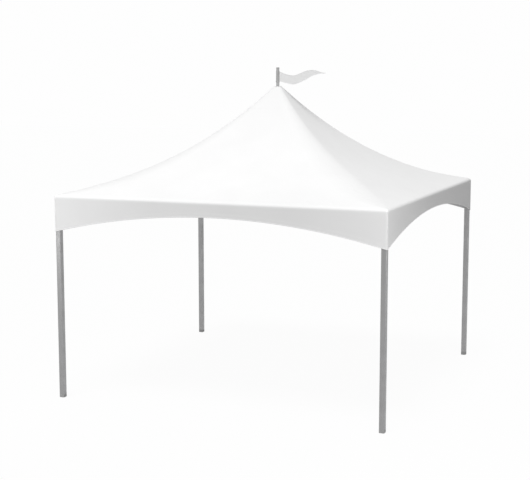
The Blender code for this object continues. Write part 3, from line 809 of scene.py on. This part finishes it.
def add_stitches(solids, sections, upper):
    """A line of short stitches along a hem, on both faces of the cloth."""
    start_end = [(STITCH_RADIUS * out, STITCH_RADIUS * along) for out, along in STITCH_END]
    far_end = [(radius, STITCH_LENGTH - z) for radius, z in reversed(start_end)]
    profile = [(0, 0), *start_end, *far_end, (0, STITCH_LENGTH)]
    out = PENNANT_THICKNESS / 2 + PENNANT_HEM_LIFT
    seam = []
    for x, y, low, high in sections:
        if high - low < SEAM_END_DEPTH:
            break
        seam.append(Vector((x, y, high - STITCH_INSET if upper else low + STITCH_INSET)))
    travelled = 0.0
    due = STITCH_PITCH
    for start, end in zip(seam, seam[1:]):
        step = end - start
        while due <= travelled + step.length:
            centre = start + step * ((due - travelled) / step.length)
            for side in (-1, 1):
                base = centre + Vector((0, side * out, 0)) - step.normalized() * STITCH_LENGTH / 2
                solids.add(*turned(profile, STITCH_SEGMENTS), towards(base, step))
            due += STITCH_PITCH
        travelled += step.length


def make_sleeve(material):
    """The pennant's loose tube of cloth, slightly wavy and open at both ends."""
    low, high = node_box("pennant_sleeve")
    layers = []
    for radius in (SLEEVE_INNER_RADIUS, SLEEVE_OUTER_RADIUS):
        grid = []
        for row in range(SLEEVE_ROWS + 1):
            share = row / SLEEVE_ROWS
            z = low.z + (high.z - low.z) * share
            swell = SLEEVE_WAVE * math.sin(math.pi * share)
            line = []
            for column in range(SLEEVE_COLUMNS):
                angle = 2 * math.pi * column / SLEEVE_COLUMNS
                out = radius + swell * math.sin(SLEEVE_WAVES * angle + SLEEVE_RADIANS_PER_METRE * z)
                line.append(Vector((out * math.cos(angle), out * math.sin(angle), z)))
            grid.append(line)
        layers.append(grid)
    solids = Solids()
    solids.add(*layers_joined(layers, closed_columns=True))
    sleeve = add_solids("pennant_sleeve_cloth", solids, material, SHARP_ROLL, "pennant")
    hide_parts("pennant_sleeve")


def make_pennant(material, thread):
    """A cloth pennant with a hem stitched along each long edge."""
    sections = refined(pennant_sections(), PENNANT_REFINING)
    root = (SLEEVE_OUTER_RADIUS - 2 * PENNANT_THICKNESS, *sections[0][1:])
    sections.insert(0, root)
    grid = []
    for x, y, low, high in sections:
        heights = [low + (high - low) * row / PENNANT_ROWS for row in range(PENNANT_ROWS + 1)]
        grid.append([Vector((x, y, height)) for height in heights])
    cloth = Solids()
    cloth.add(*upright_sheet(grid, PENNANT_THICKNESS))
    flag = add_solids("pennant_flag", cloth, material, SHARP_CLOTH, "pennant")
    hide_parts("pennant")

    hems = Solids()
    stitches = Solids()
    for upper in (False, True):
        hem_grid = []
        for x, y, low, high in sections:
            width = min(PENNANT_HEM_WIDTH, (high - low) / 2)
            start = high - width if upper else low
            hem_grid.append([Vector((x, y, start)), Vector((x, y, start + width))])
        hems.add(*upright_sheet(hem_grid, PENNANT_THICKNESS + 2 * PENNANT_HEM_LIFT))
        add_stitches(stitches, sections, upper)
    hem = add_solids("pennant_hems", hems, material, SHARP_CLOTH, "pennant")
    seam = add_solids("pennant_stitches", stitches, thread, SHARP_CLOTH, "pennant")


# Materials
class Look:
    """A material, with the textures that give it its colour, roughness and relief."""

    def __init__(self, name):
        self.material = bpy.data.materials.new(name)
        self.material.use_nodes = True
        self.nodes = self.material.node_tree.nodes
        self.links = self.material.node_tree.links
        self.shader = self.nodes["Principled BSDF"]
        self.relief = None

    def place(self, scales=(1, 1, 1)):
        """Coordinates fixed to the piece, in metres, stretched by the scales."""
        place = self.nodes.new("ShaderNodeTexCoord")
        mapping = self.nodes.new("ShaderNodeMapping")
        mapping.inputs["Scale"].default_value = scales
        self.links.new(place.outputs["Object"], mapping.inputs["Vector"])
        return mapping.outputs["Vector"]

    def noise(self, vector, scale, detail, roughness=0.5):
        texture = self.nodes.new("ShaderNodeTexNoise")
        texture.inputs["Scale"].default_value = scale
        texture.inputs["Detail"].default_value = detail
        texture.inputs["Roughness"].default_value = roughness
        self.links.new(vector, texture.inputs["Vector"])
        return texture.outputs["Fac"]

    def weave(self, vector, period):
        """Threads crossing at right angles, whichever way the cloth faces."""
        total = None
        for direction in ('X', 'Y', 'Z'):
            thread = self.nodes.new("ShaderNodeTexWave")
            thread.bands_direction = direction
            thread.inputs["Scale"].default_value = 2 * math.pi / (WAVE_TEXTURE_RADIANS * period)
            self.links.new(vector, thread.inputs["Vector"])
            if total is None:
                total = thread.outputs["Fac"]
                continue
            adding = self.nodes.new("ShaderNodeMath")
            adding.operation = 'ADD'
            self.links.new(total, adding.inputs[0])
            self.links.new(thread.outputs["Fac"], adding.inputs[1])
            total = adding.outputs["Value"]
        return total

    def crystals(self, vector, scale):
        """An even grey in each cell of the metal's plating."""
        cells = self.nodes.new("ShaderNodeTexVoronoi")
        cells.inputs["Scale"].default_value = scale
        self.links.new(vector, cells.inputs["Vector"])
        even = self.nodes.new("ShaderNodeRGBToBW")
        self.links.new(cells.outputs["Color"], even.inputs["Color"])
        return even.outputs["Val"]

    def spread(self, socket, factor, low, high, blue=0.0):
        """Spreads a factor over a range of greys, into one of the shader's sockets."""
        tones = self.nodes.new("ShaderNodeValToRGB")
        first, second = tones.color_ramp.elements
        first.position = NOISE_LOW
        second.position = NOISE_HIGH
        first.color = (low, low, low, 1)
        second.color = (high, high, high + blue, 1)
        self.links.new(factor, tones.inputs["Fac"])
        self.links.new(tones.outputs["Color"], self.shader.inputs[socket])

    def colour(self, factor, low, high, blue=0.0):
        self.spread("Base Color", factor, low, high, blue)

    def roughness(self, factor, low, high):
        self.spread("Roughness", factor, low, high)

    def bump(self, height, distance, strength):
        """Adds relief of a depth in metres, on top of any that is there."""
        relief = self.nodes.new("ShaderNodeBump")
        relief.inputs["Distance"].default_value = distance
        relief.inputs["Strength"].default_value = strength
        self.links.new(height, relief.inputs["Height"])
        if self.relief:
            self.links.new(self.relief, relief.inputs["Normal"])
        self.relief = relief.outputs["Normal"]
        self.links.new(self.relief, self.shader.inputs["Normal"])


def membrane_material(name, tone):
    """White coated membrane: satin, with the scrim's weave just showing through the coating."""
    look = Look(name)
    vector = look.place()
    look.colour(look.noise(vector, scale=1.7, detail=4), low=tone - 0.012, high=tone + 0.012)
    look.roughness(look.noise(vector, scale=7, detail=3), low=0.56, high=0.66)
    look.shader.inputs["Specular IOR Level"].default_value = 0.08
    look.bump(look.weave(vector, period=0.0024), distance=0.00008, strength=0.5)
    look.bump(look.noise(vector, scale=5, detail=2), distance=0.0016, strength=0.5)
    return look.material


def cloth_material(name, tone):
    """Light grey woven cloth, with uneven threads and a dull surface."""
    look = Look(name)
    vector = look.place()
    look.colour(look.noise(vector, scale=260, detail=3), low=tone * 0.97, high=tone * 1.02)
    look.roughness(look.noise(vector, scale=60, detail=2), low=0.72, high=0.84)
    look.shader.inputs["Sheen Weight"].default_value = 0.15
    look.bump(look.weave(vector, period=0.0011), distance=0.00008, strength=0.7)
    return look.material


def extrusion_material(name, tone, axis):
    """Mill finish aluminium, with die lines along the tube's own axis."""
    look = Look(name)
    scales = [1.0, 1.0, 1.0]
    scales[axis] = 0.012
    die_lines = look.noise(look.place(scales), scale=420, detail=3, roughness=0.65)
    look.colour(die_lines, low=tone * 0.90, high=tone * 1.08, blue=0.004)
    look.roughness(look.noise(look.place(), scale=9, detail=4), low=0.40, high=0.56)
    look.shader.inputs["Metallic"].default_value = 1.0
    look.bump(die_lines, distance=0.00012, strength=0.5)
    return look.material


def cast_material(name, tone):
    """Sand cast aluminium: a fine grain, darker in its pits."""
    look = Look(name)
    vector = look.place()
    grain = look.noise(vector, scale=520, detail=2, roughness=0.6)
    look.colour(grain, low=tone * 0.84, high=tone * 1.06)
    look.roughness(look.noise(vector, scale=28, detail=3), low=0.48, high=0.64)
    look.shader.inputs["Metallic"].default_value = 1.0
    look.bump(grain, distance=0.0003, strength=0.8)
    return look.material


def zinc_material(name, tone, scale, roughness):
    """Zinc plated or galvanised steel, with the plating's faint crystals."""
    look = Look(name)
    vector = look.place()
    look.colour(look.crystals(vector, scale), low=tone * 0.86, high=tone * 1.08, blue=0.006)
    worn = look.noise(vector, scale=45, detail=3)
    look.roughness(worn, low=roughness - 0.06, high=roughness + 0.08)
    look.shader.inputs["Metallic"].default_value = 1.0
    look.bump(worn, distance=0.0001, strength=0.4)
    return look.material


def plastic_material(name, tone):
    """Moulded plastic with a fine spark-eroded grain."""
    look = Look(name)
    vector = look.place()
    scuffs = look.noise(vector, scale=30, detail=4)
    look.colour(scuffs, low=tone * 0.94, high=tone * 1.08)
    look.roughness(scuffs, low=0.46, high=0.62)
    look.bump(look.noise(vector, scale=900, detail=2), distance=0.0002, strength=0.6)
    return look.material


def dress_frame(looks):
    """Gives each of the frame's own pieces its finish. Tubes take the one that runs along them, and the flag
    pole a copy painted lighter, a painted reflection.
    """
    for part in frame["record"]["subparts"]:
        name = part["node"]
        look = part["material_slot"]
        if look == "aluminium":
            if name in ("eave_beam_front", "eave_beam_back"):
                look = "aluminium along x"
            elif name.startswith("eave_beam"):
                look = "aluminium along y"
            # The flag pole takes a copy of the aluminium painted lighter, a painted reflection
            elif name == "flag_pole":
                look = "aluminium pole painted lighter"
        node = frame["nodes"][name]
        node.data.materials.clear()
        node.data.materials.append(looks[look])


# Stage
def make_camera():
    data = bpy.data.cameras.new("camera")
    data.sensor_width = SENSOR_WIDTH
    data.lens = FOCAL_PIXELS / PICTURE_WIDTH * SENSOR_WIDTH
    camera = bpy.data.objects.new("camera", data)
    camera.location = CAMERA_PLACE
    camera.rotation_euler = (
        math.radians(90 + CAMERA_TILT_DEGREES), 0, math.radians(CAMERA_TURN_DEGREES))
    bpy.context.collection.objects.link(camera)
    bpy.context.scene.camera = camera


def make_floor():
    """A pale floor. It lights nothing: what would bounce off it comes from the world instead."""
    size = FLOOR_SIZE
    corners = [(-size, -size, 0), (size, -size, 0), (size, size, 0), (-size, size, 0)]
    paint = Look("floor_paint")
    inputs = paint.shader.inputs
    inputs["Base Color"].default_value = (FLOOR_GREY, FLOOR_GREY, FLOOR_GREY, 1)
    inputs["Roughness"].default_value = 1
    inputs["Specular IOR Level"].default_value = 0
    inputs["Emission Color"].default_value = (1, 1, 1, 1)
    inputs["Emission Strength"].default_value = FLOOR_GLOW
    floor = add_mesh("floor", corners, [(0, 1, 2, 3)], paint.material)
    floor.visible_diffuse = False


def make_world():
    """White behind everything, and a weaker even light on the tent."""
    world = bpy.data.worlds.new("studio")
    bpy.context.scene.world = world
    world.use_nodes = True
    nodes = world.node_tree.nodes
    links = world.node_tree.links
    backdrop = nodes["Background"]
    backdrop.inputs["Strength"].default_value = BACKDROP_STRENGTH
    fill = nodes.new("ShaderNodeBackground")
    fill.inputs["Strength"].default_value = FILL_STRENGTH
    path = nodes.new("ShaderNodeLightPath")
    mix = nodes.new("ShaderNodeMixShader")
    links.new(path.outputs["Is Camera Ray"], mix.inputs["Fac"])
    links.new(fill.outputs["Background"], mix.inputs[1])
    links.new(backdrop.outputs["Background"], mix.inputs[2])
    links.new(mix.outputs["Shader"], nodes["World Output"].inputs["Surface"])
    for colour in (backdrop, fill):
        colour.inputs["Color"].default_value = (1, 1, 1, 1)


def add_sun(name, direction, strength, degrees):
    """A distant light in the direction given, as seen from the tent."""
    data = bpy.data.lights.new(name, 'SUN')
    data.energy = strength
    data.angle = math.radians(degrees)
    light = bpy.data.objects.new(name, data)
    light.rotation_euler = Vector(direction).to_track_quat('Z', 'Y').to_euler()
    bpy.context.collection.objects.link(light)


def add_softbox(name, place, aim, size, watts):
    """A square area light at a place, aimed at a point of the tent and not seen itself."""
    data = bpy.data.lights.new(name, 'AREA')
    data.energy = watts
    data.size = size
    light = bpy.data.objects.new(name, data)
    light.location = place
    light.rotation_euler = (Vector(place) - Vector(aim)).to_track_quat('Z', 'Y').to_euler()
    light.visible_camera = False
    bpy.context.collection.objects.link(light)


def make_lights():
    add_sun("key", KEY_DIRECTION, KEY_STRENGTH, KEY_SOFTNESS_DEGREES)
    add_softbox("front", FRONT_PLACE, FRONT_AIM, FRONT_SIZE, FRONT_WATTS)
    add_softbox("corner_right", CORNER_RIGHT_PLACE, CORNER_RIGHT_AIM, SOFTBOX_SIZE, CORNER_RIGHT_WATTS)
    add_softbox("corner_left", CORNER_LEFT_PLACE, CORNER_LEFT_AIM, SOFTBOX_SIZE, CORNER_LEFT_WATTS)


def make_stage():
    make_floor()
    make_world()
    make_lights()
    bpy.context.scene.view_settings.view_transform = 'Standard'


def make_tent():
    membrane = membrane_material("coated_membrane", MEMBRANE_TONE)
    zinc = zinc_material("zinc_plated_steel", ZINC_TONE, scale=110, roughness=0.36)
    rope_steel = zinc_material("galvanised_rope_steel", ROPE_TONE, scale=400, roughness=0.42)
    cloth = cloth_material("pennant_cloth", PENNANT_TONE)
    webbing = cloth_material("sleeve_webbing", WEBBING_TONE)
    dress_frame({
        "membrane": membrane,
        "aluminium": extrusion_material("extruded_aluminium_upright", ALUMINIUM_TONE, axis=2),
        "aluminium along x": extrusion_material("extruded_aluminium_along_x", ALUMINIUM_TONE, axis=0),
        "aluminium along y": extrusion_material("extruded_aluminium_along_y", ALUMINIUM_TONE, axis=1),
        # A lighter copy of the aluminium for the flag pole: painted reflection
        "aluminium pole painted lighter": extrusion_material("extruded_aluminium_pole_painted_reflection", POLE_PAINTED_REFLECTION_TONE, axis=2),
        "cast_metal": cast_material("cast_aluminium", CAST_TONE),
        "steel_cable": rope_steel,
        "zinc_steel": zinc,
        "foot_plastic": plastic_material("moulded_plastic", FOOT_TONE),
        "pennant_cloth": cloth,
        "white_plastic": plastic_material("white_moulded_plastic", COLLAR_TONE),
        "sleeve_webbing": webbing,
    })

    canopy = make_canopy(membrane)
    welded = [make_hip_welds(membrane), make_peak_patch(membrane), make_hem(membrane)]
    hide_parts(*[name for name in frame["nodes"] if name.startswith(("roof_panel", "valance"))])

    for corner, signs in CORNERS.items():
        make_turnbuckle(corner, signs, zinc)
        make_rope(corner, signs, rope_steel)
    make_bolts(zinc)
    make_set_screws(zinc)
    make_pennant(cloth, cloth_material("pennant_thread", THREAD_TONE))
    make_sleeve(webbing)


make_camera()
make_stage()
make_tent()
